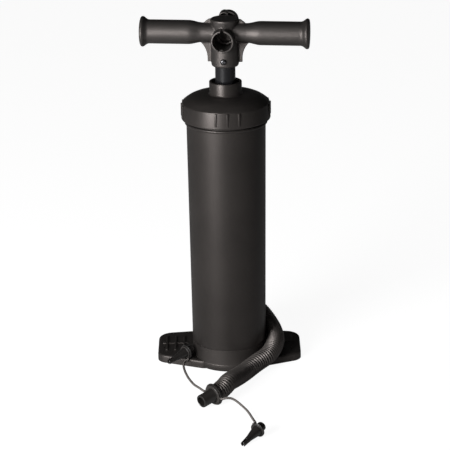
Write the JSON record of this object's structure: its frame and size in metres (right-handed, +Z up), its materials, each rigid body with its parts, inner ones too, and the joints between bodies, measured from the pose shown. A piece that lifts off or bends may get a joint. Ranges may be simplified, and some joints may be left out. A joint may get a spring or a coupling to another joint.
{
  "type": "double-action hand air pump",
  "caption": "Upright double-action hand air pump with a T handle, foot plates and a corrugated hose with nozzle and tethered adapters.",
  "frame": {"origin": "on the floor at the barrel's axis, in the middle of the base cup's flat underside", "axes": "+Z up along the barrel's axis, -Y towards the pump's front, where the hub's screw and ring are, +X towards the foot plate that the hose crosses"},
  "size_m": [0.224, 0.3607, 0.4829],
  "materials": {
    "charcoal_moulding": "satin",
    "handle_moulding": "fine leather grain",
    "rod_plastic": "glossy",
    "inner_plastic": "satin",
    "hose_plastic": "satin",
    "nozzle_plastic": "satin",
    "seal_rubber": "matte",
    "tether_rubber": "matte",
    "dark_steel": "blackened, shiny",
    "steel": "zinc plated"
  },
  "bodies": {
    "pump_body": {"base": "charcoal_moulding", "valve_plate": "inner_plastic", "valve_plate_screws": "steel", "intake_cage": "inner_plastic", "outlet_flap": "seal_rubber", "transfer_flap": "seal_rubber", "transfer_tube": "inner_plastic", "transfer_tube_seal": "seal_rubber", "base_seal": "seal_rubber", "barrel": "charcoal_moulding", "cap_gasket": "seal_rubber", "outlet_elbow": "nozzle_plastic", "hose_cuff": "nozzle_plastic", "hose": "hose_plastic", "hose_connector": "nozzle_plastic", "tether_ring": "tether_rubber", "tether_left": "tether_rubber", "tether_right": "tether_rubber", "tether_loop_left": "tether_rubber", "tether_loop_right": "tether_rubber", "adapter_left": "nozzle_plastic", "adapter_front": "nozzle_plastic"},
    "intake_valve": {"intake_disc": "seal_rubber"},
    "cap_assembly": {"cap": "charcoal_moulding", "rod_bush": "nozzle_plastic", "rod_seal": "seal_rubber", "seal_retainer": "inner_plastic"},
    "piston_ring": {"piston_seal": "seal_rubber"},
    "plunger": {"piston": "inner_plastic", "inner_seal": "seal_rubber", "piston_screws": "steel", "piston_rod": "rod_plastic", "handle": "handle_moulding", "handle_screw": "dark_steel"}
  },
  "joints": [
    {"name": "pump_stroke", "type": "slide", "parent": "pump_body", "child": "piston_ring", "axis": [0, 0, 1], "range_m": [0, 0.285]},
    {"name": "handle_spin", "type": "hinge", "parent": "piston_ring", "child": "plunger", "pos_m": [0, 0, 0.049], "axis": [0, 0, 1], "continuous": true},
    {"name": "cap_unlock", "type": "hinge", "parent": "pump_body", "child": "cap_assembly", "pos_m": [0, 0, 0.364], "axis": [0, 0, 1], "range_deg": [0, 30]},
    {"name": "intake_lift", "type": "slide", "parent": "pump_body", "child": "intake_valve", "axis": [0, 0, 1], "range_m": [0, 0.0022]}
  ]
}
